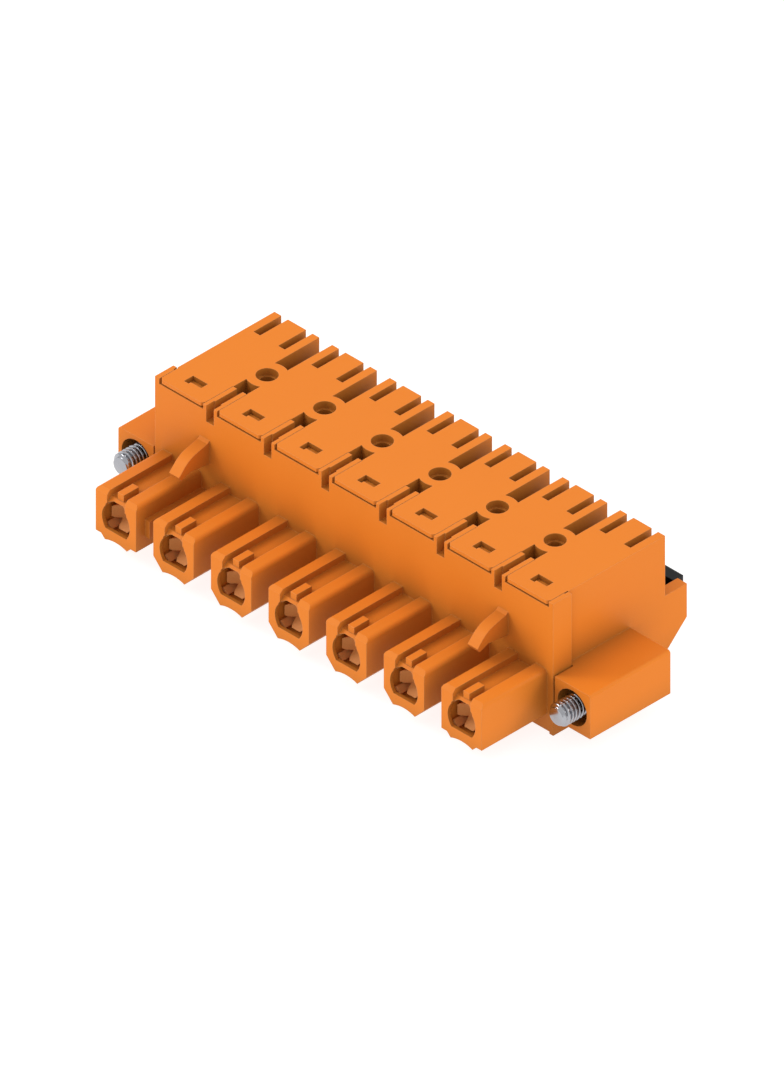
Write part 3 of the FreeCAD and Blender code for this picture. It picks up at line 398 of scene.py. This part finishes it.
# Flange screws: two captive zinc-plated steel screws with a rolled 2.5 mm thread, a thin neck that
# keeps them in the flange and a slotted head sunk in its back. The sizes are in millimetres. A rim is
# a row of steps: the way along the screw, then the tip's radius or what the head's radius loses.
THREAD_PITCH = 0.45
THREAD_DEPTH = 0.27
THREAD_RADIUS = 1.25
THREAD_LENGTH = 4.9
CREST_ENDS, ROOT_STARTS = 0.2, 0.82
TIP_RIM = ((0, 0.80), (0.02, 0.84))
TIP_CORE = 0.85
LEAD_START, LEAD_IN = 0.05, 0.5
RUN_OUT = 0.2
NECK_RADIUS = 0.95
NECK_START = 0.05
NECK_FILLET = 0.04
HEAD_RADIUS = 2.0
HEAD_HEIGHT = 1.62
HEAD_FRONT_RIM = ((0, 0.1), (0.03, 0.03), (0.1, 0))
HEAD_BACK_RIM = ((0.2, 0), (0.08, 0.05), (0, 0.2), (0, 0.5))
SLOT_LENGTH = 2.4 * HEAD_RADIUS
SLOT_WIDTH = 0.65
SLOT_DEPTH = 0.8
ROUND_STEPS = 56
ROWS_A_TURN = 14


def thread_height(y, angle):
    """Share of the full thread depth, from 0 in the root to 1 on the crest."""
    phase = (y / THREAD_PITCH - angle / (2 * math.pi)) % 1
    from_crest = abs(phase - 0.5) * 2
    return min(1, max(0, (ROOT_STARTS - from_crest) / (ROOT_STARTS - CREST_ENDS)))


def screw_outline(tip, back):
    """Rings of the screw from its tip to its back: place along the axis, radius and thread share."""
    rings = [(tip + along, radius, 0) for along, radius in TIP_RIM]
    rows = int(THREAD_LENGTH / THREAD_PITCH * ROWS_A_TURN)
    for row in range(1, rows + 1):
        along = row / rows * THREAD_LENGTH
        lead = min(1, (along + LEAD_START) / LEAD_IN)
        fade = min(1, (THREAD_LENGTH - along) / RUN_OUT)
        radius = TIP_CORE + (THREAD_RADIUS - THREAD_DEPTH - TIP_CORE) * lead
        rings.append((tip + along, radius, lead * fade))
    seat = back - HEAD_HEIGHT
    rings.append((tip + THREAD_LENGTH + NECK_START, NECK_RADIUS, 0))
    rings.append((seat - NECK_FILLET, NECK_RADIUS, 0))
    rings.append((seat, NECK_RADIUS + NECK_FILLET, 0))
    rings += [(seat + along, HEAD_RADIUS - loss, 0) for along, loss in HEAD_FRONT_RIM]
    rings += [(back - along, HEAD_RADIUS - loss, 0) for along, loss in HEAD_BACK_RIM]
    return rings


def cut_slot(screw, back_middle):
    """Cut the screwdriver's slot across the back of the head."""
    cutter = bmesh.new()
    bmesh.ops.create_cube(cutter, size=1)
    size = Vector((SLOT_LENGTH, 2 * SLOT_DEPTH, SLOT_WIDTH)) * MM
    for vertex in cutter.verts:
        vertex.co = Vector(a * b for a, b in zip(vertex.co, size)) + back_middle
    cutter_mesh = bpy.data.meshes.new("screw_slot")
    cutter.to_mesh(cutter_mesh)
    cutter.free()
    slot = bpy.data.objects.new("screw_slot", cutter_mesh)
    bpy.context.scene.collection.objects.link(slot)
    cut = screw.modifiers.new("slot", "BOOLEAN")
    cut.object = slot
    cut.operation = "DIFFERENCE"
    cut.solver = "EXACT"
    bpy.context.view_layer.update()
    shaped = screw.evaluated_get(bpy.context.evaluated_depsgraph_get())
    data = bpy.data.meshes.new_from_object(shaped)
    screw.modifiers.clear()
    screw.data = data
    bpy.data.objects.remove(slot)


def build_screw(side):
    """The screw of one flange, turned round the axis of its CAD node."""
    node = f"flange_screw_{side}"
    low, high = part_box(node)
    axis = Vector(((low.x + high.x) / 2, 0, (low.z + high.z) / 2))
    tip, back = low.y / MM, high.y / MM
    rings = []
    for y, radius, share in screw_outline(tip, back):
        ring = []
        for step in range(ROUND_STEPS):
            angle = 2 * math.pi * step / ROUND_STEPS
            reach = radius + THREAD_DEPTH * share * thread_height(y - tip, angle)
            spot = Vector((math.cos(angle) * reach, y, math.sin(angle) * reach)) * MM
            ring.append(spot + axis)
        rings.append(ring)
    screw = skinned(f"threaded_screw_{side}", rings, plated)
    cut_slot(screw, axis + Vector((0, high.y, 0)))
    soften(screw)
    screw.data.materials.clear()
    screw.data.materials.append(plated)
    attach(screw, node)
    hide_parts(node)


# Painted shade: sheltered places, such as the thread roots and the slot, take a dark grey
plated = new_material(
    "zinc_plated_steel", rolled, {"Metallic": 1.0},
    Colour=(0.44, 0.445, 0.47, 1), Dull_Colour=(0.35, 0.355, 0.38, 1),
    Inner_Colour=(0.16, 0.15, 0.15, 1), Inner_Reach=0.5 * MM, Roughness=0.2,
    Edge_Radius=0.03 * MM, Line_Depth=0.001 * MM,
)
build_screw("left")
build_screw("right")


# Stage: a plain white floor under the plug, a soft panel of light high on the left in front, a weaker
# one on the right behind, and an even white surrounding. The floor's own glow makes it white, a
# little more so to the camera and in reflections, and it keeps the plug's shadow.
FLOOR_HALF = 3.0
FLOOR_DROP = 0.02 * MM
FLOOR_GREY = 0.36
FLOOR_GLOW = 0.64
FLOOR_LIFT = 0.2
SKY_STRENGTH = 0.83
PANEL_SIZE = 0.22
WHITE = (1, 1, 1, 1)

floor_mesh = bpy.data.meshes.new("floor")
floor_mesh.from_pydata([
    (x * FLOOR_HALF, y * FLOOR_HALF, -FLOOR_DROP) for x, y in ((-1, -1), (1, -1), (1, 1), (-1, 1))
], [], [(0, 1, 2, 3)])
floor = bpy.data.objects.new("floor", floor_mesh)
bpy.context.scene.collection.objects.link(floor)
paper = bpy.data.materials.new("white_paper")
paper.use_nodes = True
tree = paper.node_tree
rays = add_node(tree, "ShaderNodeLightPath").outputs
seen = calculated(tree, "MAXIMUM", rays["Is Camera Ray"], rays["Is Glossy Ray"])
seen = calculated(tree, "MAXIMUM", seen, rays["Is Transmission Ray"])
glow = calculated(tree, "ADD", calculated(tree, "MULTIPLY", seen, FLOOR_LIFT), FLOOR_GLOW)
matt = tree.nodes["Principled BSDF"]
feed(tree, matt.inputs["Base Color"], (FLOOR_GREY, FLOOR_GREY, FLOOR_GREY, 1))
feed(tree, matt.inputs["Roughness"], 0.9)
feed(tree, matt.inputs["Specular IOR Level"], 0.1)
feed(tree, matt.inputs["Emission Color"], WHITE)
feed(tree, matt.inputs["Emission Strength"], glow)
floor_mesh.materials.append(paper)

world = bpy.data.worlds.new("studio")
world.use_nodes = True
sky = world.node_tree.nodes["Background"]
sky.inputs["Color"].default_value = WHITE
sky.inputs["Strength"].default_value = SKY_STRENGTH
bpy.context.scene.world = world


def add_panel(name, spot, power):
    """A square soft light at this place, aimed at the plug."""
    panel = bpy.data.lights.new(name, "AREA")
    panel.size = PANEL_SIZE
    panel.energy = power
    lamp = bpy.data.objects.new(name, panel)
    lamp.location = spot
    lamp.rotation_euler = (Vector(spot) - AIM).to_track_quat("Z", "Y").to_euler()
    bpy.context.scene.collection.objects.link(lamp)


add_panel("panel_front", (-0.46, -0.40, 0.50), 1.4)
add_panel("panel_right", (0.50, 0.40, 0.40), 0.8)
